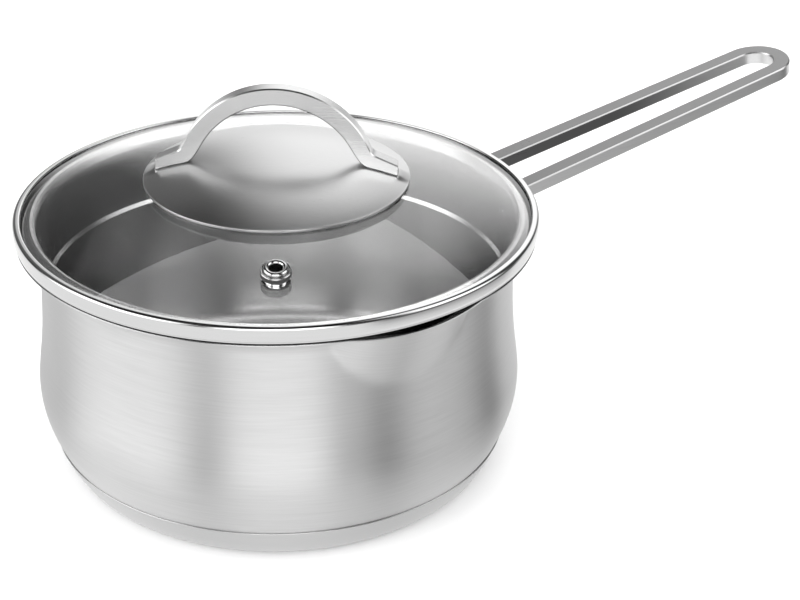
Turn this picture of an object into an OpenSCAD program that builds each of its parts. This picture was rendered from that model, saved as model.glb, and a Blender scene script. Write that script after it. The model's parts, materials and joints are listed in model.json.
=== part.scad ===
// Saucepan with two pouring spouts, a loop handle and a glass lid with a strainer skirt.
// Z is up, the origin is the centre of the base, the long handle points along +X and the
// two spouts are at -Y and +Y. All sizes are in millimetres.

/* [Pan] */
// Outer radius of the straight neck under the lip
neck_r = 80.6; // [79.6:0.1:81.6]
// Largest outer radius of the belly
belly_r = 83.75; // [83:0.05:84.5]
// Height of the belly's widest place
belly_z = 31; // [28:1:34]
// Thickness of the pressed sheet wall
wall_t = 0.6; // [0.5:0.1:0.8]
// Height of the top of the lip
lip_z = 85.3; // [85:0.1:85.5]
// Outer radius of the flared lip
lip_r = 88; // [87.8:0.1:88.4]
// Radius of the flare under the lip
flare_r = 6.6; // [6:0.1:6.8]

/* [Spouts] */
// Radius of the round punch that pushes a spout out of the wall
spout_r = 39; // [34:1:44]
// Height where a spout starts
spout_z = 62; // [58:1:66]
// How far the lip dips in the middle of a spout
spout_dip = 1.9; // [0.4:0.1:2]

/* [Base] */
// Height of the floor's underside, where the aluminium core ends
core_z = 5.6; // [4.6:0.2:6.6]
// Height of the seam where the base cap ends on the wall
seam_z = 11.7; // [11:0.1:12.4]
// Radius of the cap at the seam
seam_r = 79.5; // [79:0.1:80]
// Radius of the flat face that stands on the hob
foot_r = 71.5; // [70:0.5:72.5]
// Thickness of the base cap
cap_t = 0.5; // [0.4:0.1:0.7]

/* [Long handle] */
// Distance from the pan's axis to the handle's tip
handle_reach = 233.5; // [210:0.5:250]
// Upward slope of the handle
handle_tilt = 9.3; // [6:0.1:11]
// Half of the handle's width at the pan
handle_half_root = 15.4; // [14.5:0.1:16]
// Half of the handle's width at its round end
handle_half_tip = 13.4; // [12.5:0.1:14]
// Width of the flat bar, seen from above
handle_bar_w = 6.4; // [5.5:0.1:7]
// Height of the flat bar
handle_bar_h = 5; // [4:0.1:5.4]
// Height of the bar's top face where it meets the pan
handle_top_z = 79.6; // [78:0.1:80]

/* [Lid] */
// Radius of the glass sheet
glass_r = 87.2; // [87:0.1:87.4]
// Height of the top of the glass dome
glass_top_z = 105.5; // [105:0.1:106]
// Outer radius of curvature of the dome
dome_r = 259; // [258:1:260]
// Thickness of the glass
glass_t = 3.6; // [3.5:0.1:3.6]
// Outer radius of the steel band round the glass
band_r = 88.5; // [88.4:0.1:88.8]
// Height of the band's lower face above the base
band_low_z = 85.65; // [85.6:0.01:85.7]
// Height of the band's upper face
band_high_z = 91.5; // [91.4:0.1:91.8]
// Turn of the lid about its axis, away from the long handle
lid_turn = -35.5; // [-60:0.5:60]

/* [Strainer] */
// Outer radius of the skirt at its top
skirt_top_r = 79.9; // [79.7:0.1:80]
// Outer radius of the skirt at its lower edge
skirt_low_r = 78.8; // [78.4:0.1:79]
// Height of the skirt's lower edge
skirt_low_z = 64.5; // [62:0.5:68]
// Radius of a small straining hole
small_hole_r = 1.5; // [1:0.1:1.8]
// Radius of a large straining hole
large_hole_r = 2.5; // [2:0.1:3]

/* [Knob] */
// Radius of the domed plate under the grip
plate_r = 44.7; // [43:0.1:46]
// Height of the plate's edge
plate_edge_z = 102.6; // [102.5:0.1:103]
// Radius of curvature of the plate
plate_dome_r = 132; // [130:1:136]
// Height of the grip's highest point
arch_top_z = 134; // [133:0.5:136]
// Thickness of the grip at its highest point
arch_t = 5.9; // [5:0.1:6.4]
// Width of the grip's flat bar
arch_w = 5.8; // [5:0.1:7]

/* [Steam vent] */
// Distance of the vent from the lid's axis
vent_r = 64.5; // [60:0.5:66]
// Turn of the vent about the axis, away from the line square to the grip
vent_turn = 5; // [-10:0.5:10]
// Radius of the vent's passage
vent_hole_r = 2.1; // [1.5:0.1:2.1]

/* [Hidden] */
$fn = 128;
e = 0.01;
overcut = 5;

// Pan
flare_z = lip_z - wall_t - flare_r;
wall_foot_r = seam_r - cap_t;
core_edge_z = core_z + 2.4;

// Spouts
spout_slope = atan2(lip_r - 0.1 - neck_r, lip_z - spout_z);
dip_r = 152;
spout_cut_low = 40;

// Handle
plate_out_r = neck_r + 1.8;
bracket_low_z = 65;
bracket_high_z = 79.6;
bracket_half_w = 17.5;

// Glass
dome_z = glass_top_z - dome_r;
function glass_top(r) = dome_z + sqrt(pow(dome_r, 2) - r * r);
function glass_under(r) = dome_z + sqrt(pow(dome_r - glass_t, 2) - r * r);
knob_hole_r = 5.4;
glass_vent_r = 3.6;

// Strainer ring
sheet_t = 0.45;
flange_gap = 0.05;
skirt_top_z = glass_under(skirt_top_r) - 4.4;

// Steam vent
eyelet_tube_r = vent_hole_r + 0.7;
eyelet_bead_c = 3.05;
eyelet_bead_r = 0.9;
eyelet_bead_z = 2.25;

// Knob
plate_t = 0.9;
plate_centre_z = plate_edge_z - sqrt(pow(plate_dome_r, 2) - plate_r * plate_r);
function plate_top(r) = plate_centre_z + sqrt(pow(plate_dome_r, 2) - r * r);
arch_out_r = 34;
arch_out_a = 37;
arch_in_r = 28.4;
arch_in_a = 30;
weld_gap = 0.05;
foot_t = 3.9;
foot_end = 40.5;
foot_mid = 35.4;
foot_slope = [cos(16), -sin(16)];
foot_top = [33.5, plate_top(33.5) + foot_t + 1];
foot_root = [30.2, plate_top(30.2) + weld_gap];
boss_r = 8;
boss_neck_r = 4.2;
seal_t = 0.9;
seal_r = 9.2;
seal_collar_r = 5.1;
seal_top_z = glass_top_z + seal_t;
seal_low_z = glass_under(0) - 1.4;
washer_t = 0.9;
lock_t = 0.9;
washer_low_z = seal_low_z - washer_t;
lock_low_z = washer_low_z - lock_t;
screw_r = 2;
screw_head_r = 4.2;
screw_head_h = 2.4;

steel = [0.80, 0.80, 0.81];
bright_steel = [0.88, 0.88, 0.89];
silicone = [0.30, 0.30, 0.31];

// Points of an arc about c, from angle a0 to a1 in n steps
function arc(c, r, a0, a1, n) =
    [for (i = [0:n]) let (a = a0 + (a1 - a0) * i / n) c + r * [cos(a), sin(a)]];

// Points of a cubic curve from p to s with handles q and r, its first point left out
function curve(p, q, r, s, n) =
    [for (i = [1:n]) let (t = i / n, u = 1 - t)
        u * u * u * p + 3 * u * u * t * q + 3 * u * t * t * r + t * t * t * s];

function unit(v) = v / norm(v);
function left_of(v) = [-v[1], v[0]];
function backwards(path) = [for (i = [len(path) - 1:-1:0]) path[i]];

// A path moved sideways by d to its left, each point along the mean of its two sides' normals
function beside(path, d) = [
    for (i = [0:len(path) - 1])
        let (
            a = path[max(i - 1, 0)],
            b = path[i],
            c = path[min(i + 1, len(path) - 1)],
            n0 = a == b ? left_of(unit(c - b)) : left_of(unit(b - a)),
            n1 = b == c ? n0 : left_of(unit(c - b)),
            m = unit(n0 + n1)
        )
        b + m * d / (m * n0)
];

// ---------- pan profiles, from the axis outwards and up ----------

// Outside of the pressed wall: floor, corner under the cap, belly, neck and flare
function wall_path() = concat(
    [[0, core_z], [foot_r - 3, core_z]],
    curve([foot_r - 3, core_z], [foot_r + 2.5, core_z], [77.0, 8.0], [wall_foot_r, seam_z], 8),
    curve([wall_foot_r, seam_z], [wall_foot_r + 2.6, seam_z + 6], [belly_r, belly_z - 8],
          [belly_r, belly_z], 10),
    curve([belly_r, belly_z], [belly_r, belly_z + 8], [neck_r, 46], [neck_r, 74], 14),
    arc([neck_r + flare_r, flare_z], flare_r, 180, 90, 10),
    [[lip_r, lip_z - wall_t]]
);

// Outside of the base cap: flat foot, round edge and sloping band up to the seam
function cap_path() = concat(
    [[0, 0], [foot_r, 0]],
    curve([foot_r, 0], [foot_r + 2.8, 0], [seam_r - 1.95, seam_z - 4.6], [seam_r, seam_z], 10)
);

function closed_to_axis(path, top) = concat(path, [[path[len(path) - 1][0], top], [0, top]]);

module wall_solid() {
    rotate_extrude() polygon(closed_to_axis(wall_path(), lip_z));
}

module wall_hollow() {
    rotate_extrude() polygon(closed_to_axis(beside(wall_path(), wall_t), lip_z + overcut));
}

// Round punch for a spout, leaning out so that its line leaves the wall at spout_z
module spout_punch(side, r, low, high) {
    intersection() {
        rotate([0, 0, side])
            translate([neck_r, 0, spout_z])
                rotate([0, spout_slope, 0])
                    translate([-spout_r, 0, 0])
                        cylinder(h = 160, r = r, center = true);
        translate([0, 0, low])
            cylinder(h = high - low, r = lip_r + overcut);
    }
}

module pan_body() {
    color(steel)
        difference() {
            union() {
                wall_solid();
                for (side = [-90, 90])
                    spout_punch(side, spout_r, spout_cut_low, lip_z);
            }
            wall_hollow();
            for (side = [-90, 90])
                spout_punch(side, spout_r - wall_t, spout_cut_low + 3, lip_z + overcut);
            translate([0, 0, lip_z - spout_dip + dip_r])
                rotate([90, 0, 0])
                    cylinder(h = 4 * neck_r, r = dip_r, center = true);
        }
}

// Solid inside the cap
module cap_inside() {
    rotate_extrude() polygon(closed_to_axis(beside(cap_path(), cap_t), seam_z + overcut));
}

module heat_disc() {
    color("silver")
        difference() {
            intersection() {
                cap_inside();
                cylinder(h = core_edge_z, r = seam_r);
            }
            wall_solid();
        }
}

module base_cap() {
    color(bright_steel)
        rotate_extrude()
            polygon(concat(cap_path(), backwards(beside(cap_path(), cap_t))));
}

// ---------- long handle ----------

// Flat outline of a tapering bar with a round end, from the pan's axis outwards
module loop_outline(inset) {
    root = handle_half_root - inset;
    tip = handle_half_tip - inset;
    end_x = handle_reach - handle_half_tip;
    slope = (handle_half_root - handle_half_tip) / (end_x - neck_r);
    axis_half = root + slope * neck_r;
    polygon([[0, -axis_half], [end_x, -tip], [end_x, tip], [0, axis_half]]);
    translate([end_x, 0]) circle(r = tip);
}

module handle_loop() {
    color(steel)
        difference() {
            translate([neck_r, 0, handle_top_z])
                rotate([0, -handle_tilt, 0])
                    translate([-neck_r, 0, -handle_bar_h])
                        linear_extrude(handle_bar_h)
                            difference() {
                                loop_outline(0);
                                loop_outline(handle_bar_w);
                            }
            translate([0, 0, bracket_low_z - 30])
                cylinder(h = 80, r = plate_out_r);
        }
}

module handle_bracket() {
    color(steel)
        difference() {
            intersection() {
                translate([0, 0, bracket_low_z])
                    cylinder(h = bracket_high_z - bracket_low_z, r = plate_out_r);
                translate([neck_r / 2, -bracket_half_w, bracket_low_z])
                    cube([neck_r, 2 * bracket_half_w, bracket_high_z - bracket_low_z]);
            }
            wall_solid();
        }
}

// ---------- lid: glass, band and strainer ----------

module dome(r) {
    translate([0, 0, dome_z]) sphere(r = r, $fn = 256);
}

// Moves its children to the vent, with +Z along the glass's normal
module at_vent(depth) {
    translate([0, 0, dome_z])
        rotate([0, 0, vent_turn])
            rotate([asin(vent_r / dome_r), 0, 0])
                translate([0, 0, dome_r - depth])
                    children();
}

module lid_glass() {
    color([0.85, 0.9, 0.9, 0.4])
        difference() {
            intersection() {
                dome(dome_r);
                translate([0, 0, band_low_z])
                    cylinder(h = 30, r = glass_r);
            }
            dome(dome_r - glass_t);
            translate([0, 0, glass_top_z - 10])
                cylinder(h = 20, r = knob_hole_r);
            rotate([0, 0, lid_turn])
                at_vent(glass_t / 2)
                    cylinder(h = 4 * glass_t, r = glass_vent_r, center = true);
        }
}

// Section of the strainer's flange and skirt, following the glass and then hanging down
function skirt_path() = concat(
    [[glass_r, glass_under(glass_r) - flange_gap]],
    [[skirt_top_r + 3, glass_under(skirt_top_r + 3) - flange_gap]],
    curve([skirt_top_r + 3, glass_under(skirt_top_r + 3) - flange_gap],
          [skirt_top_r + 1, glass_under(skirt_top_r + 1) - flange_gap],
          [skirt_top_r - sheet_t, skirt_top_z + 2.4],
          [skirt_top_r - sheet_t, skirt_top_z], 6),
    [[skirt_low_r - sheet_t, skirt_low_z + 1.2], [skirt_low_r - sheet_t - 0.9, skirt_low_z]]
);

// A block of straining holes: columns by rows, centred on an angle
module straining_holes(angle, columns, pitch, rows, r) {
    for (row = rows)
        for (i = [0:columns - 1])
            rotate([0, 0, angle + (i - (columns - 1) / 2) * pitch])
                translate([skirt_low_r, 0, row])
                    rotate([0, 90, 0])
                        cylinder(h = 12, r = r, center = true, $fn = 24);
}

module strainer_skirt() {
    color(steel)
        rotate([0, 0, lid_turn])
            difference() {
                rotate_extrude()
                    polygon(concat(skirt_path(), backwards(beside(skirt_path(), sheet_t))));
                straining_holes(181, 7, 4.5, [68.5, 74.8, 81], small_hole_r);
                straining_holes(5, 4, 7.8, [70, 79.5], large_hole_r);
            }
}

// C-shaped band that clamps the glass and the flange together
module rim_band() {
    lip_in_r = 86;
    corner = 1.1;
    inside_r = band_r - sheet_t;
    color(bright_steel)
        rotate_extrude()
            difference() {
                union() {
                    translate([lip_in_r, band_low_z])
                        square([band_r - corner - lip_in_r, band_high_z - band_low_z]);
                    translate([lip_in_r, band_low_z + corner])
                        square([band_r - lip_in_r, band_high_z - band_low_z - 2 * corner]);
                    for (z = [band_low_z + corner, band_high_z - corner])
                        translate([band_r - corner, z]) circle(r = corner);
                }
                polygon([
                    [lip_in_r - 1, glass_under(lip_in_r - 1) - flange_gap - sheet_t - 0.05],
                    [glass_r, glass_under(glass_r) - flange_gap - sheet_t - 0.05],
                    [inside_r, glass_under(glass_r) - flange_gap - sheet_t - 0.05],
                    [inside_r, glass_top(glass_r) + 0.05],
                    [glass_r, glass_top(glass_r) + 0.05],
                    [lip_in_r - 1, glass_top(lip_in_r - 1) + 0.05]
                ]);
            }
}

// ---------- steam vent ----------

module vent_eyelet() {
    color(bright_steel)
        rotate([0, 0, lid_turn])
            at_vent(0)
                difference() {
                    union() {
                        translate([0, 0, 1.35]) cylinder(h = 0.6, r = 4.9);
                        translate([0, 0, eyelet_bead_z])
                            rotate_extrude() translate([eyelet_bead_c, 0]) circle(r = eyelet_bead_r);
                        translate([0, 0, -glass_t - 1.3])
                            cylinder(h = glass_t + 1.3 + eyelet_bead_z, r = eyelet_tube_r);
                        translate([0, 0, -glass_t - 1.5])
                            cylinder(h = 0.45, r = eyelet_tube_r + 0.8);
                    }
                    cylinder(h = 40, r = vent_hole_r, center = true);
                }
}

module vent_seal() {
    color(silicone)
        rotate([0, 0, lid_turn])
            at_vent(0)
                difference() {
                    union() {
                        cylinder(h = 1.3, r = 4.9);
                        translate([0, 0, -glass_t])
                            cylinder(h = glass_t + e, r = glass_vent_r - 0.05);
                    }
                    translate([0, 0, -glass_t - e])
                        cylinder(h = glass_t + 2, r = eyelet_tube_r + 0.05);
                }
}

module vent_washer() {
    color(bright_steel)
        rotate([0, 0, lid_turn])
            at_vent(glass_t)
                translate([0, 0, -0.95])
                    difference() {
                        cylinder(h = 0.8, r = 4.4);
                        translate([0, 0, -e])
                            cylinder(h = 2, r = eyelet_tube_r + 0.05);
                    }
}

// ---------- knob ----------

module knob_plate() {
    color(steel)
        difference() {
            intersection() {
                translate([0, 0, plate_centre_z]) sphere(r = plate_dome_r, $fn = 256);
                translate([0, 0, plate_edge_z - 2]) cylinder(h = 20, r = plate_r);
            }
            translate([0, 0, plate_centre_z]) sphere(r = plate_dome_r - plate_t, $fn = 256);
        }
}

// Half of the grip's upper outline, from its top centre down to the end of its foot
function arch_outside() = let (
    c = [0, arch_top_z - arch_out_r],
    leg = arc(c, arch_out_r, 90, arch_out_a, 12)
) concat(
    leg,
    curve(leg[12], leg[12] + 7 * [sin(arch_out_a), -cos(arch_out_a)],
          foot_top - 3.2 * foot_slope, foot_top, 7),
    [[foot_end, plate_top(foot_end) + foot_t]]
);

// The same for the lower outline, whose foot lies on the plate
function arch_inside() = let (
    c = [0, arch_top_z - arch_t - arch_in_r],
    leg = arc(c, arch_in_r, 90, arch_in_a, 12)
) concat(
    leg,
    curve(leg[12], leg[12] + 5.5 * [sin(arch_in_a), -cos(arch_in_a)],
          foot_root - 1.8 * foot_slope, foot_root, 6),
    [[foot_mid, plate_top(foot_mid) + weld_gap], [foot_end, plate_top(foot_end) + weld_gap]]
);

function mirrored(path) = [for (p = path) [-p[0], p[1]]];
function past_first(path) = [for (i = [1:len(path) - 1]) path[i]];

module knob_arch() {
    right = concat(arch_outside(), backwards(arch_inside()));
    left = past_first(backwards(past_first(mirrored(right))));
    color(bright_steel)
        rotate([0, 0, lid_turn])
            translate([0, arch_w / 2, 0])
                rotate([90, 0, 0])
                    linear_extrude(arch_w)
                        polygon(concat(right, left));
}

module knob_boss() {
    color(steel)
        difference() {
            union() {
                intersection() {
                    translate([0, 0, seal_top_z])
                        cylinder(h = 10, r = boss_r);
                    translate([0, 0, plate_centre_z])
                        sphere(r = plate_dome_r - plate_t, $fn = 256);
                }
                translate([0, 0, glass_under(0) + 0.4])
                    cylinder(h = seal_top_z - glass_under(0), r = boss_neck_r);
            }
            translate([0, 0, glass_under(0)])
                cylinder(h = 7.2, r = screw_r + 0.02);
        }
}

module knob_seal_upper() {
    color(silicone)
        difference() {
            union() {
                translate([0, 0, glass_top(knob_hole_r)])
                    cylinder(h = seal_top_z - glass_top(knob_hole_r), r = seal_r);
                translate([0, 0, glass_under(0) + 0.2])
                    cylinder(h = glass_t, r = seal_collar_r);
            }
            cylinder(h = 2 * glass_top_z, r = boss_neck_r + 0.05);
        }
}

module knob_seal_lower() {
    color(silicone)
        flat_ring(seal_low_z, glass_under(seal_r) - 0.02 - seal_low_z, seal_r, screw_r + 0.5);
}

module flat_ring(z, h, outer, inner) {
    translate([0, 0, z])
        difference() {
            cylinder(h = h, r = outer);
            translate([0, 0, -1]) cylinder(h = h + 2, r = inner);
        }
}

module knob_washer() {
    color(bright_steel) flat_ring(washer_low_z, washer_t, 8.6, screw_r + 0.5);
}

module lock_washer() {
    color(steel)
        difference() {
            flat_ring(lock_low_z, lock_t, 3.9, screw_r + 0.3);
            translate([0, -0.3, lock_low_z - 1]) cube([6, 0.6, lock_t + 2]);
        }
}

module knob_screw() {
    color(bright_steel)
        difference() {
            union() {
                translate([0, 0, lock_low_z - screw_head_h])
                    cylinder(h = screw_head_h, r = screw_head_r);
                translate([0, 0, lock_low_z - e])
                    cylinder(h = 10.2, r = screw_r);
            }
            for (a = [0, 90])
                rotate([0, 0, a])
                    translate([-2.2, -0.4, lock_low_z - screw_head_h - 1])
                        cube([4.4, 0.8, 2.2]);
        }
}

pan_body();
heat_disc();
base_cap();
handle_bracket();
handle_loop();
lid_glass();
rim_band();
strainer_skirt();
vent_eyelet();
vent_seal();
vent_washer();
knob_plate();
knob_arch();
knob_boss();
knob_seal_upper();
knob_seal_lower();
knob_washer();
lock_washer();
knob_screw();
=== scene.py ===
import json
import math

import bpy
import numpy as np
from mathutils import Matrix, Vector


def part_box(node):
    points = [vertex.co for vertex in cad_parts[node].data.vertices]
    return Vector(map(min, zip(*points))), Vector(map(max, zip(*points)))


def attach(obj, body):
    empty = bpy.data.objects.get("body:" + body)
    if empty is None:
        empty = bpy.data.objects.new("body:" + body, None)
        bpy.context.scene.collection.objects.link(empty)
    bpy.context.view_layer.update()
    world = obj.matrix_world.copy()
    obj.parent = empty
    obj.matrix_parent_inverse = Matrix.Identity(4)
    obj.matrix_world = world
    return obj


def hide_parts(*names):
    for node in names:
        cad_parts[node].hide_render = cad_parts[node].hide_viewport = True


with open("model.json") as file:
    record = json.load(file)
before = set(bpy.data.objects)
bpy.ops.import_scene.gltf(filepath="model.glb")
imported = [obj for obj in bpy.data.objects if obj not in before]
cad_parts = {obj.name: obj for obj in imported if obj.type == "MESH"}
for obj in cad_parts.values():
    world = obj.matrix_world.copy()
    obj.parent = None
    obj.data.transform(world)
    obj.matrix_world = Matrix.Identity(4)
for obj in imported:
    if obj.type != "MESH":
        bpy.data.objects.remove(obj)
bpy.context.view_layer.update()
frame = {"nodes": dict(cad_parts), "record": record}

MM = 0.001

# ---------------------------------------------------------------- sizes
# Millimetres, in the pan's frame: Z up, base at 0, long handle along +X, spouts at -Y and +Y.
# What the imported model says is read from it, and the rest repeats its driving dimensions.


def mm_box(node):
    """A CAD node's lowest and highest corner in millimetres."""
    low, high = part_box(node)
    return np.array(low) / MM, np.array(high) / MM


pan_low, pan_high = mm_box("pan_body")
band_low, band_high = mm_box("rim_band")
grip_high = mm_box("knob_arch")[1]

LIP_R = pan_high[0]
LIP_Z = pan_high[2]
CORE_Z = pan_low[2]
NECK_R = 80.6
BELLY_R = 83.75
BELLY_Z = 31.0
WALL_T = 0.6
FLARE_R = 6.6

SEAM_R = 79.5
SEAM_Z = 11.7
FOOT_R = 71.5
CAP_T = 0.5

SPOUT_R = 39.0
SPOUT_Z = 62.0
SPOUT_DIP = 1.9
SPOUT_DIP_HALF = 24.5
SPOUT_BLEND = 0.3
SPOUT_REACH_ANGLE = 0.9
SPOUT_REACH_DOWN = 14.0
SPOUT_CLEAR = 6.0
DIP_START_Z = 70.0
SPOUT_SIDES = (-90.0, 90.0)

LOOP_TILT = math.radians(9.3)
LOOP_HALF_ROOT = 15.4
LOOP_HALF_TIP = 13.4
LOOP_BAR_W = 6.4
LOOP_BAR_H = 5.0
LOOP_TOP_Z = 79.6
LOOP_REACH = 233.5
LOOP_CHAMFER = 0.42

GLASS_R = 87.2
GLASS_TOP = 105.5
GLASS_T = 3.6
DOME_R = 259.0
DOME_Z = GLASS_TOP - DOME_R
LID_TURN = math.radians(-35.5)
BAND_R = band_high[0]
BAND_LOW = band_low[2]
BAND_HIGH = band_high[2]

PLATE_R = 44.7
PLATE_EDGE_Z = 102.6
PLATE_DOME_R = 132.0
PLATE_T = 0.9
STEP_RISE = 0.7
PLATE_CENTRE_Z = PLATE_EDGE_Z - math.sqrt(PLATE_DOME_R ** 2 - PLATE_R ** 2)

ARCH_TOP = grip_high[2]
ARCH_T = 5.9
ARCH_W = 5.8
ARCH_OUT_R = 34.0
ARCH_OUT_A = math.radians(37.0)
ARCH_IN_R = 28.4
ARCH_IN_A = math.radians(30.0)
ARCH_CHAMFER = 0.45
FOOT_END = 40.5
FOOT_T = 3.9
FOOT_SLOPE = np.array([math.cos(math.radians(16.0)), -math.sin(math.radians(16.0))])

VENT_R = 64.5
VENT_TURN = math.radians(5.0)
VENT_HOLE_R = 2.1


# ---------------------------------------------------------------- outlines
# An outline is an array of (radius, height) or (x, y) points.


def arc(centre, radius, start, end, count):
    """Points at radius from centre, from angle start to angle end in degrees."""
    angle = np.radians(np.linspace(start, end, count))
    return np.array(centre) + radius * np.column_stack([np.cos(angle), np.sin(angle)])


def curve(p, q, r, s, count):
    """A cubic curve from p to s with handles q and r, its first point left out."""
    t = np.linspace(0.0, 1.0, count + 1)[1:, None]
    u = 1.0 - t
    start, middle = u ** 3 * np.array(p), 3 * u * u * t * np.array(q)
    return start + middle + 3 * u * t * t * np.array(r) + t ** 3 * np.array(s)


def line(p, q, count):
    """Evenly spaced points from p to q, both ends in."""
    return np.linspace(np.array(p, float), np.array(q, float), count)


def beside(path, distance):
    """The outline moved to its left by distance, along the mean normal of each point's two sides."""
    step = np.diff(path, axis=0)
    step /= np.linalg.norm(step, axis=1)[:, None]
    left = np.column_stack([-step[:, 1], step[:, 0]])
    before = np.vstack([left[:1], left])
    after = np.vstack([left, left[-1:]])
    mean = before + after
    mean /= np.linalg.norm(mean, axis=1)[:, None]
    return path + mean * (distance / (mean * before).sum(axis=1))[:, None]


def round_end(a, b, count=7):
    """Half a circle from a to b, which bulges to the right of the way from a to b."""
    a, b = np.array(a), np.array(b)
    centre, across = (a + b) / 2, (a - b) / 2
    out = np.array([-across[1], across[0]])
    angle = np.linspace(0.0, math.pi, count + 2)[1:-1, None]
    return centre + across * np.cos(angle) + out * np.sin(angle)


def evenly(path, count):
    """The outline with count points evenly spaced along its length."""
    length = np.concatenate([[0.0], np.cumsum(np.linalg.norm(np.diff(path, axis=0), axis=1))])
    at = np.linspace(0.0, length[-1], count)
    return np.column_stack([np.interp(at, length, path[:, k]) for k in range(path.shape[1])])


# ---------------------------------------------------------------- meshes


def signed_volume(points, triangles):
    """A sixth of the sum over the triangles of a . (b x c)."""
    a, b, c = (points[triangles[:, k]] for k in range(3))
    return (a * np.cross(b, c)).sum() / 6.0


def grid_faces(rows, columns, wrap_rows, wrap_columns):
    """Corner numbers of each quad of a grid of points whose rows or columns may close on themselves."""
    i = np.arange(rows if wrap_rows else rows - 1)[:, None]
    j = np.arange(columns if wrap_columns else columns - 1)[None, :]
    i2, j2 = (i + 1) % rows, (j + 1) % columns
    corners = (i * columns + j, i * columns + j2, i2 * columns + j2, i2 * columns + j)
    return np.stack(np.broadcast_arrays(*corners), axis=-1).reshape(-1, 4)


def piece_from(name, points, faces, sharp=35.0):
    """A mesh object in metres from points in millimetres, its faces turned to point outwards."""
    quads = [np.asarray(f, dtype=int) for f in faces]
    triangles = [q[:, [0, k, k + 1]] for q in quads for k in range(1, q.shape[1] - 1)]
    if signed_volume(points, np.vstack(triangles)) < 0:
        quads = [q[:, ::-1] for q in quads]
    mesh = bpy.data.meshes.new(name)
    mesh.from_pydata((points * MM).tolist(), [], [row for q in quads for row in q.tolist()])
    mesh.update()
    mesh.shade_smooth()
    mesh.set_sharp_from_angle(angle=math.radians(sharp))
    piece = bpy.data.objects.new(name, mesh)
    bpy.context.scene.collection.objects.link(piece)
    return piece


def lathe_grid(path, columns, angles=None):
    """Points (radius cos a, radius sin a, height) for each outline point and each angle a."""
    angle = np.linspace(0.0, 2 * math.pi, columns, endpoint=False) if angles is None else angles
    radius, height = path[:, 0][:, None], path[:, 1][:, None]
    return np.stack([radius * np.cos(angle), radius * np.sin(angle), height + 0 * angle], axis=-1)


def closed_body(name, grid, sharp=35.0):
    """A closed skin from a grid whose columns go round, its first and last row each drawn to one point."""
    rows, columns = grid.shape[:2]
    middle = grid[1:-1].reshape(-1, 3)
    poles = np.vstack([grid[0].mean(axis=0), grid[-1].mean(axis=0)])
    points = np.vstack([middle, poles])
    sides = grid_faces(rows - 2, columns, False, True)
    j = np.arange(columns)
    j2 = (j + 1) % columns
    first, last = len(middle), len(middle) + 1
    end = (rows - 3) * columns
    bottom = np.column_stack([np.full(columns, first), j2, j])
    top = np.column_stack([np.full(columns, last), end + j, end + j2])
    return piece_from(name, points, [sides, bottom, top], sharp)


def ring_body(name, grid, sharp=35.0):
    """A closed ring from a grid whose rows and columns both close on themselves."""
    rows, columns = grid.shape[:2]
    return piece_from(name, grid.reshape(-1, 3), [grid_faces(rows, columns, True, True)], sharp)


def bar_body(name, grid, sharp=30.0):
    """A bar from a grid with one section per row: its columns go round and its two ends are flat faces.

    The long faces on the section's fifth side are marked "inside", and those on its third "upper".
    """
    rows, columns = grid.shape[:2]
    ends = np.array([np.arange(columns)[::-1], (rows - 1) * columns + np.arange(columns)])
    bar = piece_from(name, grid.reshape(-1, 3), [grid_faces(rows, columns, False, True), ends], sharp)
    face = np.arange(len(bar.data.polygons))
    long_face = face < (rows - 1) * columns
    mark_faces(bar, "inside", long_face & (face % columns == 4))
    mark_faces(bar, "upper", long_face & (face % columns == 2))
    return bar


def mark_faces(piece, name, marked):
    """A face attribute that is 1 on the marked faces and 0 on the rest."""
    layer = piece.data.attributes.new(name, "FLOAT", "FACE")
    layer.data.foreach_set("value", np.asarray(marked, dtype=float))


def turned(points, angle):
    """Points turned about the vertical axis."""
    c, s = math.cos(angle), math.sin(angle)
    return points @ np.array([[c, s, 0.0], [-s, c, 0.0], [0.0, 0.0, 1.0]])


# ---------------------------------------------------------------- pan


def wall_outline():
    """Outside of the pressed wall from the axis: floor, corner, belly, neck, flare and lip."""
    foot = (SEAM_R - CAP_T, SEAM_Z)
    flare_z = LIP_Z - WALL_T - FLARE_R
    return np.vstack([
        line((0.0, CORE_Z), (FOOT_R - 3.0, CORE_Z), 14),
        curve((FOOT_R - 3.0, CORE_Z), (FOOT_R + 2.5, CORE_Z), (77.0, 8.0), foot, 12),
        curve(foot, (foot[0] + 2.6, foot[1] + 6.0), (BELLY_R, BELLY_Z - 8.0), (BELLY_R, BELLY_Z), 16),
        curve((BELLY_R, BELLY_Z), (BELLY_R, BELLY_Z + 8.0), (NECK_R, 46.0), (NECK_R, 74.0), 34),
        line((NECK_R, 75.0), (NECK_R, flare_z - 0.6), 3),
        arc((NECK_R + FLARE_R, flare_z), FLARE_R, 180.0, 90.0, 18),
        [(LIP_R - 0.3, LIP_Z - WALL_T)],
    ])


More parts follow.
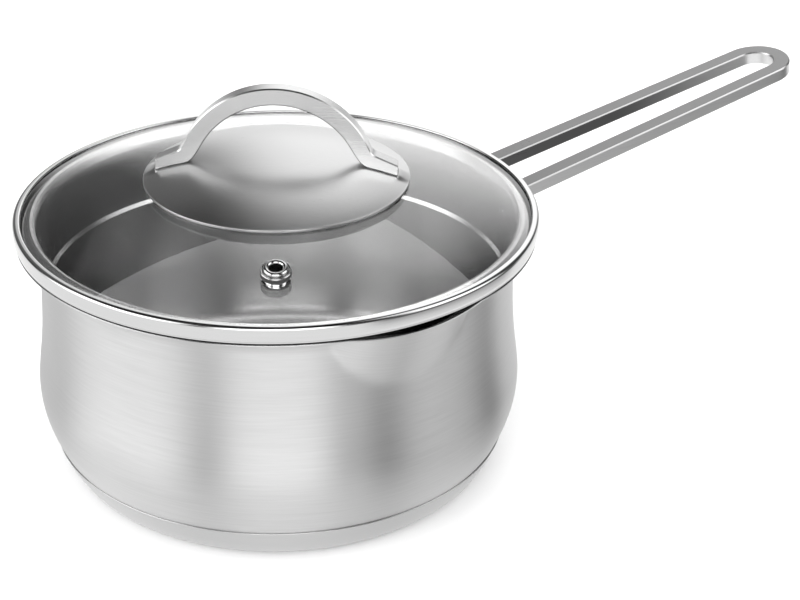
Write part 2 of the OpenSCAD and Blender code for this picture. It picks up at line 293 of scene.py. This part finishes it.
def push_out_spouts(grid, inward):
    """Moves each point out to the spout punches, a round bar of SPOUT_R leaning outwards.

    At each height the punch's circle meets the ray at angle a from the spout's middle at
    c cos a + sqrt(R^2 - c^2 sin^2 a), with c the distance of its centre from the axis. The wall
    is the smooth greater of its own radius and that. Near the lip it dips by SPOUT_DIP times
    1 - (x / half)^2, which fades in with the square of the height above DIP_START_Z.
    """
    x, y, z = np.moveaxis(grid, -1, 0)
    radius = np.hypot(x, y)
    angle = np.arctan2(y, x)
    lean = (LIP_R - 0.1 - NECK_R) / (LIP_Z - SPOUT_Z)
    punch_r = SPOUT_R - inward
    for side in SPOUT_SIDES:
        away = np.angle(np.exp(1j * (angle - math.radians(side))))
        centre = NECK_R + (z - SPOUT_Z) * lean - SPOUT_R
        inside = punch_r ** 2 - (centre * np.sin(away)) ** 2
        reach = centre * np.cos(away) + np.sqrt(np.maximum(inside, 0.0))
        near_spout = (np.abs(away) < SPOUT_REACH_ANGLE) & (z > SPOUT_Z - SPOUT_REACH_DOWN)
        reach = np.where(near_spout & (inside > 0.0), reach, 0.0)
        gap = radius - reach
        pushed = (radius + reach + np.sqrt(gap * gap + SPOUT_BLEND ** 2)) / 2 - SPOUT_BLEND * 0.02
        radius = np.where(gap > SPOUT_CLEAR, radius, np.maximum(radius, np.minimum(pushed, LIP_R)))
        across = radius * np.sin(away) / SPOUT_DIP_HALF
        rise = np.clip((z - DIP_START_Z) / (LIP_Z - DIP_START_Z), 0.0, 1.0)
        dip = SPOUT_DIP * np.clip(1 - across * across, 0, 1) * rise * rise
        z = z - np.where(np.cos(away) > 0.5, dip, 0.0)
    return np.stack([radius * np.cos(angle), radius * np.sin(angle), z], axis=-1)


def pan_skin():
    """The wall as one closed skin: outside outline, rounded lip edge and inside outline, turned and pushed.

    The faces of the inside outline are marked "inside".
    """
    steps = np.linspace(0.0, 2 * math.pi, 480, endpoint=False)
    angles = steps + 0.22 * np.sin(2 * steps)
    outside = wall_outline()
    inside = beside(outside, WALL_T)[::-1]
    inside[-1, 0] = 0.0
    edge = round_end(outside[-1], inside[0])
    outer = push_out_spouts(lathe_grid(np.vstack([outside, edge[:4]]), 0, angles), 0.0)
    inner = push_out_spouts(lathe_grid(np.vstack([edge[4:], inside]), 0, angles), WALL_T)
    skin = closed_body("pan_wall", np.concatenate([outer, inner]), 50.0)
    face = np.arange(len(skin.data.polygons))
    poles = len(face) - 2 * len(angles)
    inner_side = (face >= (len(outer) - 1) * len(angles)) & (face < poles)
    inner_pole = face >= poles + len(angles)
    mark_faces(skin, "inside", inner_side | inner_pole)
    return skin


def base_skin():
    """The base cap turned from its outline: flat foot, round edge, sloping band and rolled upper edge."""
    rim = (SEAM_R - 0.12, SEAM_Z - 0.3)
    outside = np.vstack([
        line((0.0, 0.0), (FOOT_R, 0.0), 12),
        curve((FOOT_R, 0.0), (FOOT_R + 2.8, 0.0), (SEAM_R - 1.95, SEAM_Z - 4.6), rim, 24),
    ])
    inside = beside(outside, CAP_T)[::-1]
    inside[-1, 0] = 0.0
    section = np.vstack([outside, round_end(outside[-1], inside[0]), inside])
    return closed_body("base_band", lathe_grid(section, 300), 50.0)


# ---------------------------------------------------------------- long handle


def chamfered(half_w, half_h, cut):
    """Corner points of a rectangle with cut corners, once round, as (across, up) factors."""
    w, h = half_w - cut, half_h - cut
    return np.array([
        (half_w, -h), (half_w, h), (w, half_h), (-w, half_h),
        (-half_w, h), (-half_w, -h), (-w, -half_h), (w, -half_h),
    ])


def loop_skin():
    """A chamfered flat section carried out along one leg, round the end and back, then tilted."""
    end_x = LOOP_REACH - LOOP_HALF_TIP
    start_x = NECK_R + 1.0
    tip = LOOP_HALF_TIP - LOOP_BAR_W / 2
    root = LOOP_HALF_ROOT - LOOP_BAR_W / 2
    leg = line((start_x, -root), (end_x, -tip), 40)
    bend = arc((end_x, 0.0), tip, -90.0, 90.0, 49)[1:-1]
    path = np.vstack([leg, bend, leg[::-1] * (1, -1)])
    along = np.gradient(path, axis=0)
    along /= np.linalg.norm(along, axis=1)[:, None]
    side = np.column_stack([along[:, 1], -along[:, 0]])
    section = chamfered(LOOP_BAR_W / 2, LOOP_BAR_H / 2, LOOP_CHAMFER)
    flat = path[:, None, :] + side[:, None, :] * section[None, :, 0, None]
    up = np.broadcast_to(section[None, :, 1], flat.shape[:2]) - LOOP_BAR_H / 2
    out = flat[..., 0] - NECK_R
    c, s = math.cos(LOOP_TILT), math.sin(LOOP_TILT)
    grid = np.stack([NECK_R + out * c - up * s, flat[..., 1], LOOP_TOP_Z + out * s + up * c], axis=-1)
    return bar_body("handle_bar", grid)


# ---------------------------------------------------------------- lid


def glass_under(radius):
    """Height of the glass's lower face at a radius."""
    return DOME_Z + np.sqrt((DOME_R - GLASS_T) ** 2 - radius * radius)


def glass_over(radius):
    """Height of the glass's upper face at a radius."""
    return DOME_Z + np.sqrt(DOME_R ** 2 - radius * radius)


def band_skin():
    """The rolled band turned from a closed outline: round hem, side, round corner, roll and inner faces."""
    inner = 86.0
    corner = 1.25
    hem = 1.9
    sheet = 0.45
    wall = BAND_R - sheet
    lap = wall - 1.0
    low, high = BAND_LOW, BAND_HIGH
    under = glass_under(GLASS_R) - 0.6
    over = glass_over(GLASS_R) + 0.05
    section = np.vstack([
        line((inner + 0.3, low), (BAND_R - hem, low), 3)[:-1],
        arc((BAND_R - hem, low + hem), hem, -90.0, 0.0, 12),
        arc((BAND_R - corner, high - corner), corner, 0.0, 90.0, 10),
        line((BAND_R - corner, high), (inner + 0.45, high - 0.02), 4)[1:],
        arc((inner + 0.42, high - 0.44), 0.42, 95.0, 200.0, 8),
        [(lap, glass_over(lap) + 0.05), (wall, over), (wall, under), (inner + 0.05, under + 0.25)],
        arc((inner + 0.3, low + 0.25), 0.25, 170.0, 250.0, 4),
    ])
    return ring_body("lid_band", lathe_grid(section, 360), 40.0)


def at_vent(points, depth):
    """Points of a vent piece, turned about +Z, moved onto the glass along its normal at the vent."""
    lean = math.asin(VENT_R / DOME_R)
    c, s = math.cos(lean), math.sin(lean)
    x, y, z = np.moveaxis(points, -1, 0)
    z = z + DOME_R - depth
    placed = np.stack([x, y * c - z * s, y * s + z * c + DOME_Z], axis=-1)
    return turned(placed, LID_TURN + VENT_TURN)


def eyelet_skin():
    """The eyelet turned from a closed outline: rolled bead, rounded flange, tube and flared lower end."""
    tube = VENT_HOLE_R + 0.7
    under = -GLASS_T
    section = np.vstack([
        arc((3.05, 2.2), 0.9, 190.0, -40.0, 24),
        [(3.95, 1.72), (4.3, 1.9)],
        arc((4.6, 1.65), 0.3, 90.0, -90.0, 12),
        [(tube + 0.3, 1.35), (tube, 1.1), (tube, under - 1.0), (tube + 0.75, under - 1.08)],
        [(tube + 0.8, under - 1.4), (VENT_HOLE_R + 0.2, under - 1.5), (VENT_HOLE_R, under - 1.3)],
        [(VENT_HOLE_R, 1.7)],
    ])
    return ring_body("vent_ring", at_vent(lathe_grid(section, 96), 0.0), 40.0)


def plate_top(radius):
    """Height of the knob plate's upper face at a radius."""
    return PLATE_CENTRE_Z + np.sqrt(PLATE_DOME_R ** 2 - radius * radius)


def plate_skin():
    """The knob plate: a thin dome with a rounded edge, raised a little past the grip's two feet.

    The rise is a step just inside FOOT_END along the grip, which fades to the sides and to the rim.
    """
    near_step = [40.0, 40.45, 40.6, 40.75, 41.2, 42.0, 43.0, 44.0, 44.45]
    radii = np.concatenate([[0.0], np.linspace(4.0, 39.0, 26), near_step])
    upper = np.column_stack([radii, plate_top(radii)])
    under_r = radii[::-1]
    under_z = PLATE_CENTRE_Z + np.sqrt((PLATE_DOME_R - PLATE_T) ** 2 - under_r ** 2)
    lower = np.column_stack([under_r, under_z])
    edge = round_end(lower[0], upper[-1])[::-1]
    edge[:, 0] = np.minimum(edge[:, 0], PLATE_R)
    grid = lathe_grid(np.vstack([upper, edge, lower]), 288)
    radius = np.hypot(grid[..., 0], grid[..., 1])
    past = np.clip((radius - 40.3) / 0.4, 0.0, 1.0)
    fade = np.clip((44.6 - radius) / 3.5, 0.0, 1.0)
    beside_foot = np.clip((5.6 - np.abs(grid[..., 1])) / 2.8, 0.0, 1.0)
    grid[..., 2] += STEP_RISE * past * fade * beside_foot * beside_foot * (3 - 2 * beside_foot)
    return closed_body("knob_dish", turned(grid, LID_TURN), 50.0)


def grip_outlines():
    """The grip's upper and lower outline as (x, height), paired point by point from foot to foot."""
    top_c = np.array([0.0, ARCH_TOP - ARCH_OUT_R])
    top_end = top_c + ARCH_OUT_R * np.array([math.cos(ARCH_OUT_A), math.sin(ARCH_OUT_A)])
    foot_top = np.array([33.5, plate_top(33.5) + FOOT_T + 1.0])
    over = np.vstack([
        arc(top_c, ARCH_OUT_R, 90.0, math.degrees(ARCH_OUT_A), 24),
        curve(top_end, top_end + 7.0 * np.array([math.sin(ARCH_OUT_A), -math.cos(ARCH_OUT_A)]),
              foot_top - 3.2 * FOOT_SLOPE, foot_top, 16),
        [(FOOT_END, plate_top(FOOT_END) + FOOT_T)],
    ])
    low_c = np.array([0.0, ARCH_TOP - ARCH_T - ARCH_IN_R])
    low_end = low_c + ARCH_IN_R * np.array([math.cos(ARCH_IN_A), math.sin(ARCH_IN_A)])
    foot_root = np.array([30.2, plate_top(30.2) + 0.05])
    under = np.vstack([
        arc(low_c, ARCH_IN_R, 90.0, math.degrees(ARCH_IN_A), 24),
        curve(low_end, low_end + 5.5 * np.array([math.sin(ARCH_IN_A), -math.cos(ARCH_IN_A)]),
              foot_root - 1.8 * FOOT_SLOPE, foot_root, 14),
        [(35.4, plate_top(35.4) + 0.05), (FOOT_END, plate_top(FOOT_END) + 0.05)],
    ])
    halves = [evenly(path, 60) for path in (over, under)]
    return [np.vstack([half[::-1] * (-1, 1), half[1:]]) for half in halves]


def grip_skin():
    """A chamfered section set across the pair of outlines at each step, from one foot to the other."""
    over, under = grip_outlines()
    inwards = under - over
    depth = np.linalg.norm(inwards, axis=1)[:, None]
    inwards /= depth
    cut, half = ARCH_CHAMFER, ARCH_W / 2
    columns = [
        (half, cut, over), (half - cut, 0.0, over), (cut - half, 0.0, over), (-half, cut, over),
        (-half, -cut, under), (cut - half, 0.0, under), (half - cut, 0.0, under), (half, -cut, under),
    ]
    rings = [
        np.column_stack([edge + inwards * shift, np.full(len(edge), across)])
        for across, shift, edge in columns
    ]
    grid = np.stack(rings, axis=1)
    upright = np.stack([grid[..., 0], grid[..., 2], grid[..., 1]], axis=-1)
    return bar_body("knob_grip", turned(upright, LID_TURN))


# ---------------------------------------------------------------- materials


class Value:
    """A value socket that Python's operators work on. Each operator adds one Math node."""

    def __init__(self, finish, socket):
        self.finish, self.socket = finish, socket

    def maths(self, operation, *others):
        """A Math node with this value first and the others after it."""
        values = dict(enumerate((self, *others)))
        node = self.finish.node("ShaderNodeMath", {"operation": operation}, values)
        return Value(self.finish, node.outputs[0])

    def __add__(self, other):
        return self.maths("ADD", other)

    __radd__ = __add__

    def __mul__(self, other):
        return self.maths("MULTIPLY", other)

    __rmul__ = __mul__

    def __sub__(self, other):
        return self.maths("SUBTRACT", other)

    def __rsub__(self, other):
        return (self * -1.0).maths("ADD", other)

    def __truediv__(self, other):
        return self.maths("DIVIDE", other)

    def __rtruediv__(self, other):
        return self.maths("POWER", -1.0) * other

    def __pow__(self, other):
        return self.maths("POWER", other)

    def held(self, low=0.0, high=1.0):
        """The value kept between low and high."""
        return self.maths("MAXIMUM", low).maths("MINIMUM", high)


class Finish:
    """The node tree of one material, or of the world round the object."""

    def __init__(self, name, world=False):
        self.owner = bpy.data.worlds.new(name) if world else bpy.data.materials.new(name)
        self.owner.use_nodes = True
        self.tree = self.owner.node_tree
        self.tree.nodes.clear()
        self.out = self.tree.nodes.new("ShaderNodeOutputWorld" if world else "ShaderNodeOutputMaterial")

    def node(self, kind, settings=None, inputs=None):
        """A node of a kind, its settings made first and then its inputs: numbers, colours or links."""
        made = self.tree.nodes.new(kind)
        for key, value in (settings or {}).items():
            setattr(made, key, value)
        for key, value in (inputs or {}).items():
            if isinstance(value, Value):
                self.tree.links.new(value.socket, made.inputs[key])
            elif isinstance(value, bpy.types.NodeSocket):
                self.tree.links.new(value, made.inputs[key])
            else:
                made.inputs[key].default_value = value
        return made

    def place(self, coordinates="Object"):
        """The three Object coordinates as values, in metres. In the world, Generated is the direction."""
        where = self.node("ShaderNodeTexCoord").outputs[coordinates]
        split = self.node("ShaderNodeSeparateXYZ", None, {0: where})
        return [Value(self, split.outputs[k]) for k in range(3)]

    def mark(self, name):
        """A face attribute of the piece as a value, 0 where the piece has none."""
        return Value(self, self.node("ShaderNodeAttribute", {"attribute_name": name}).outputs["Fac"])

    def vector(self, x, y, z):
        """Three values joined into a vector."""
        return self.node("ShaderNodeCombineXYZ", None, {0: x, 1: y, 2: z}).outputs[0]

    def noise(self, where, scale, detail=2.0, roughness=0.5):
        """Noise from 0 to 1 at a vector."""
        made = self.node(
            "ShaderNodeTexNoise", {"noise_dimensions": "3D"},
            {"Vector": where, "Scale": scale, "Detail": detail, "Roughness": roughness},
        )
        return Value(self, made.outputs[0])

    def blend(self, share, first, second):
        """A colour between two, by a value or number from 0 to 1."""
        made = self.node(
            "ShaderNodeMix", {"data_type": "RGBA", "blend_type": "MIX"},
            {"Factor": share, 6: first, 7: second},
        )
        return made.outputs[2]

    def bump(self, height, strength, distance):
        """A normal from a height, with the depth in metres."""
        inputs = {"Height": height, "Strength": strength, "Distance": distance}
        return self.node("ShaderNodeBump", None, inputs).outputs[0]

    def surface(self, shader):
        """Ends the tree with a shader and gives the material or world."""
        self.tree.links.new(shader.outputs[0], self.out.inputs["Surface"])
        return self.owner


def smooth(value, start, end):
    """0 before start, 1 past end and 3t^2 - 2t^3 between."""
    share = ((value - start) / (end - start)).held()
    return share * share * (3.0 - share * 2.0)


def grey(level, tint=0.0):
    """An opaque grey, slightly cooler with a positive tint."""
    return (level * (1 - tint), level, level * (1 + tint), 1.0)


def steel(name, level, rough, grain_at, grain_depth, drift, along=0.0, painted_shade_span=None, inside_shade_and_roughness=None):
    """Brushed steel: fine stretched grain in colour, roughness and bump, over a slow drift of the polish.

    grain_at turns the three coordinates into the vector that the grain's noise reads. along is the
    anisotropy of the brushed surface, whose streaks stand across the brushing. painted_shade_span is
    where along X the faces marked "inside" go from a painted shade, a near-black colour standing in for
    the dark reflection they show, to the colour of the rest, on a bar whose faces marked "upper" get a
    painted shade too, darkened to how dim they look under this lighting. inside_shade_and_roughness
    is the share of its own level and of its roughness that a skin keeps on its faces marked "inside":
    the lower level is a painted shade for the dim inside of the pan.
    """
    finish = Finish(name)
    x, y, z = finish.place()
    grain_where = grain_at(finish, x, y, z)
    fine = finish.noise(grain_where, 1.0, 3.0, 0.6)
    slow = finish.noise(finish.vector(x, y, z), 22.0, 2.0)
    shade = (fine - 0.5) * grain_depth * 2.4 + (slow - 0.5) * drift * 4.0 + 0.5
    colour = finish.blend(shade.held(), grey(level * 0.88), grey(min(level * 1.12, 0.98)))
    # Painted shade: the faces marked "inside" go near-black towards the root, standing in for the dark
    # reflection they show, and the faces marked "upper" are darkened to how dim they look under this
    # lighting.
    if painted_shade_span:
        painted_shade = finish.mark("inside") * (1.0 - smooth(x, *painted_shade_span)) * 0.9
        colour = finish.blend(painted_shade, colour, grey(level * 0.12))
        colour = finish.blend(finish.mark("upper") * 0.95, colour, grey(level * 0.24))
    gloss = rough + (fine - 0.5) * rough * grain_depth + (slow - 0.5) * 0.08
    # Painted shade: the faces marked "inside" get a darker colour for the dim, shaded inside of the pan.
    # The cut in roughness is the finish.
    if inside_shade_and_roughness:
        inside = finish.mark("inside")
        colour = finish.blend(inside, colour, grey(level * inside_shade_and_roughness[0]))
        gloss = gloss * (1.0 - inside * (1.0 - inside_shade_and_roughness[1]))
    gloss = gloss.held(0.03, 1.0)
    shader = finish.node(
        "ShaderNodeBsdfPrincipled", None,
        {
            "Base Color": colour, "Metallic": 1.0, "Roughness": gloss,
            "Anisotropic": along, "Anisotropic Rotation": 0.25,
            "Normal": finish.bump(fine, grain_depth * 0.35, 0.00002),
        },
    )
    return finish.surface(shader)


def round_grain(length, width):
    """Grain that runs round the axis: slow along x and y, fast along the sum of radius and height."""

    def at(finish, x, y, z):
        radius = (x * x + y * y) ** 0.5
        return finish.vector(x / length, y / length, (radius + z) / width)

    return at


def straight_grain(length, width, angle=0.0):
    """Grain in straight lines at an angle to X, seen from above."""
    c, s = math.cos(angle), math.sin(angle)

    def at(finish, x, y, z):
        return finish.vector((x * c + y * s) / length, (y * c - x * s) / width, z / width)

    return at


def clear_glass():
    """Clear toughened glass, whose polish is broken by the faintest haze and a few drying marks."""
    finish = Finish("tempered_glass")
    x, y, z = finish.place()
    marks = finish.noise(finish.vector(x, y, z), 60.0, 3.0, 0.6)
    shader = finish.node(
        "ShaderNodeBsdfPrincipled", None,
        {
            "Base Color": finish.blend(marks, grey(0.98), grey(0.995)), "IOR": 1.5,
            "Transmission Weight": 1.0, "Roughness": smooth(marks, 0.55, 0.9) * 0.03,
        },
    )
    return finish.surface(shader)


def rubber():
    """Dark matt silicone with a fine unevenness."""
    finish = Finish("silicone_seal")
    x, y, z = finish.place()
    fine = finish.noise(finish.vector(x, y, z), 900.0, 2.0)
    colour = finish.blend(fine, grey(0.035), grey(0.07))
    shader = finish.node(
        "ShaderNodeBsdfPrincipled", None,
        {
            "Base Color": colour, "Roughness": 0.55 + fine * 0.2,
            "Normal": finish.bump(fine, 0.2, 0.00002),
        },
    )
    return finish.surface(shader)


def floor_paint():
    """Pale matt paper with the faintest mottling."""
    finish = Finish("pale_floor")
    x, y, z = finish.place()
    soft = finish.noise(finish.vector(x, y, z), 3.0, 2.0)
    colour = finish.blend(soft, grey(0.86), grey(0.9))
    shader = finish.node("ShaderNodeBsdfPrincipled", None, {"Base Color": colour, "Roughness": 0.9})
    return finish.surface(shader)


MATERIALS = {
    # The pan's inside faces get a painted shade at 0.72 of the level, and their roughness is cut to 0.62.
    "pan_steel": steel(
        "pan_brushed", 0.56, 0.38, round_grain(0.02, 0.0007), 0.40, 0.04, along=0.96, inside_shade_and_roughness=(0.72, 0.62)
    ),
    "base_steel": steel("base_turned", 0.53, 0.42, round_grain(0.04, 0.0006), 0.20, 0.04, along=0.8),
    # The handle's inner faces carry a painted shade that fades out before the bend, and its upper faces
    # carry one along their whole length.
    "handle_steel": steel(
        "handle_satin", 0.72, 0.30, straight_grain(0.03, 0.0004), 0.30, 0.05, painted_shade_span=(0.15, 0.225)
    ),
    "polished_steel": steel("rolled_polished", 0.62, 0.14, round_grain(0.05, 0.0005), 0.10, 0.04),
    "strainer_steel": steel("strainer_sheet", 0.5, 0.22, round_grain(0.05, 0.0004), 0.15, 0.06),
    "plate_steel": steel("dish_brushed", 0.54, 0.3, straight_grain(0.03, 0.0003, LID_TURN), 0.30, 0.05),
    "grip_steel": steel("grip_satin", 0.58, 0.26, straight_grain(0.02, 0.0003, LID_TURN), 0.25, 0.05),
    "core_aluminium": steel("core_cast", 0.7, 0.45, straight_grain(0.001, 0.001), 0.2, 0.05),
    "clear_glass": clear_glass(),
    "silicone": rubber(),
}


# ---------------------------------------------------------------- putting it together


def finish_piece(piece, body, slot, *nodes):
    """Gives a new piece its material, body, slot and the CAD nodes that it stands for."""
    piece.data.materials.append(MATERIALS[slot])
    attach(piece, body)
    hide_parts(*nodes)


finish_piece(pan_skin(), "pan", "pan_steel", "pan_body")
finish_piece(base_skin(), "pan", "base_steel", "base_cap")
finish_piece(loop_skin(), "pan", "handle_steel", "handle_loop")
finish_piece(band_skin(), "lid", "polished_steel", "rim_band")
finish_piece(eyelet_skin(), "lid", "polished_steel", "vent_eyelet")
finish_piece(plate_skin(), "lid", "plate_steel", "knob_plate")
finish_piece(grip_skin(), "lid", "grip_steel", "knob_arch")

SLOTS = {part["node"]: part["material_slot"] for part in frame["record"]["subparts"]}
for node, cad in frame["nodes"].items():
    cad.data.materials.clear()
    cad.data.materials.append(MATERIALS[SLOTS[node]])


# ---------------------------------------------------------------- studio

# The viewing point, from the pan's axis: how far round from -Y, how far out, how high, and its aim
VIEW_TURN = math.radians(-29.622)
VIEW_OUT = 0.55415
VIEW_HIGH = 0.34267
VIEW_YAW = math.radians(4.338)
VIEW_DOWN = math.radians(27.442)
VIEW_ROLL = math.radians(0.957)
VIEW_LENS = 80.56

STUDIO_POWER = 1.15


def make_floor():
    """A wide pale disc at the base's height."""
    rings = np.column_stack([np.array([0.0, 400.0, 1200.0, 3000.0]), np.zeros(4)])
    grid = lathe_grid(rings, 64)
    points = np.vstack([grid[0, :1], grid[1:].reshape(-1, 3)])
    j = np.arange(64)
    j2 = (j + 1) % 64
    centre = np.column_stack([np.zeros(64, int), 1 + j, 1 + j2])
    sides = grid_faces(3, 64, False, True)[:, ::-1] + 1
    mesh = bpy.data.meshes.new("floor")
    points = points * MM - np.array([0.0, 0.0, 0.0002])
    mesh.from_pydata(points.tolist(), [], centre.tolist() + sides.tolist())
    floor = bpy.data.objects.new("floor", mesh)
    floor.data.materials.append(floor_paint())
    floor.visible_glossy = False
    bpy.context.scene.collection.objects.link(floor)


def soft_box(name, place, target, width, height, power, mirrored=True):
    """A rectangular lamp at a place, aimed at a target, all in metres and watts.

    A lamp that isn't mirrored lights the floor and the seals, and shows in no metal.
    """
    lamp = bpy.data.lights.new(name, "AREA")
    lamp.shape, lamp.size, lamp.size_y, lamp.energy = "RECTANGLE", width, height, power
    lit = bpy.data.objects.new(name, lamp)
    lit.location = place
    lit.visible_glossy = mirrored
    lit.rotation_mode = "QUATERNION"
    lit.rotation_quaternion = (Vector(target) - Vector(place)).to_track_quat("-Z", "Y")
    bpy.context.scene.collection.objects.link(lit)
    return lit


def lobe(finish, x, y, turn, near, far):
    """1 within near degrees of a compass direction and 0 past far degrees, fading smoothly between.

    turn is the direction's angle to the right of the viewing point, as seen from the pan. The cosine
    of the angle off it is the level part of the direction times the lobe's own direction.
    """
    angle = VIEW_TURN + math.radians(turn)
    level = (x * x + y * y).maths("MAXIMUM", 0.0001) ** 0.5
    off = (x * math.sin(angle) - y * math.cos(angle)) / level
    low, high = math.cos(math.radians(far)), math.cos(math.radians(near))
    return smooth(off, low, high)


def make_world():
    """A studio of pale panels in front, at both sides and behind, with dim gaps between them.

    Above the horizon stand the panels, each fading out towards a dark ceiling. Below it is a pale
    surround with one dim gap at the right, and straight down it is pale all round.
    """
    finish = Finish("studio", True)
    x, y, z = finish.place("Generated")
    front = lobe(finish, x, y, -2.0, 10.0, 32.0)
    left = lobe(finish, x, y, -76.0, 16.0, 42.0)
    right = lobe(finish, x, y, 80.0, 8.0, 30.0)
    back = lobe(finish, x, y, 180.0, 20.0, 55.0)
    behind = lobe(finish, x, y, 170.0, 3.0, 24.0)
    gap = lobe(finish, x, y, 79.0, 30.0, 47.0)
    strip = smooth(z, 0.1, 0.2) * (1.0 - smooth(z, 0.6, 0.75))
    over = 0.06 + (front * 1.2 + left * 1.1) * (strip * 1.7 + 1.0)
    over = (over + back * 0.08) * (1.0 - smooth(z, 0.62, 0.76) * 0.95)
    over = over + behind * 1.25 * (1.0 - smooth(z, 0.7, 0.93) * 0.85)
    over = over + right * 1.2 * (strip * 0.6 + 1.0) * (1.0 - smooth(z, 0.85, 0.97))
    under = 1.0 - gap * smooth(z, -0.6, -0.3) * 0.88
    raised = smooth(z, -0.05, 0.2)
    level = over * raised + under * (1.0 - raised)
    straight_down = smooth(z * -1.0, 0.34, 0.62)
    level = level * (1.0 - straight_down) + straight_down * 1.0
    power = level * STUDIO_POWER
    light = finish.node("ShaderNodeBackground", None, {"Color": grey(1.0), "Strength": power})
    bpy.context.scene.world = finish.surface(light)


def make_camera():
    """A camera at the viewing point whose aim is turned aside by yaw, down and rolled a little."""
    out = Matrix.Rotation(VIEW_TURN, 4, "Z")
    aside, down, roll = VIEW_YAW, VIEW_DOWN, VIEW_ROLL
    ahead = Vector((math.sin(aside) * math.cos(down), math.cos(aside) * math.cos(down), -math.sin(down)))
    right = Vector((math.cos(aside), -math.sin(aside), 0.0))
    above = right.cross(ahead)
    side = math.cos(roll) * right + math.sin(roll) * above
    top = math.cos(roll) * above - math.sin(roll) * right
    data = bpy.data.cameras.new("view")
    data.lens, data.sensor_width, data.clip_start = VIEW_LENS, 36.0, 0.01
    camera = bpy.data.objects.new("view", data)
    frame_axes = Matrix((side, top, -ahead)).transposed().to_4x4()
    camera.matrix_world = out @ Matrix.Translation((0.0, -VIEW_OUT, VIEW_HIGH)) @ frame_axes
    bpy.context.scene.collection.objects.link(camera)
    bpy.context.scene.camera = camera


make_floor()
make_world()
soft_box("ceiling", (0.0, 0.0, 2.2), (0.0, 0.0, 0.0), 4.0, 4.0, 100.0, False)
make_camera()
bpy.context.scene.view_settings.view_transform = "Standard"
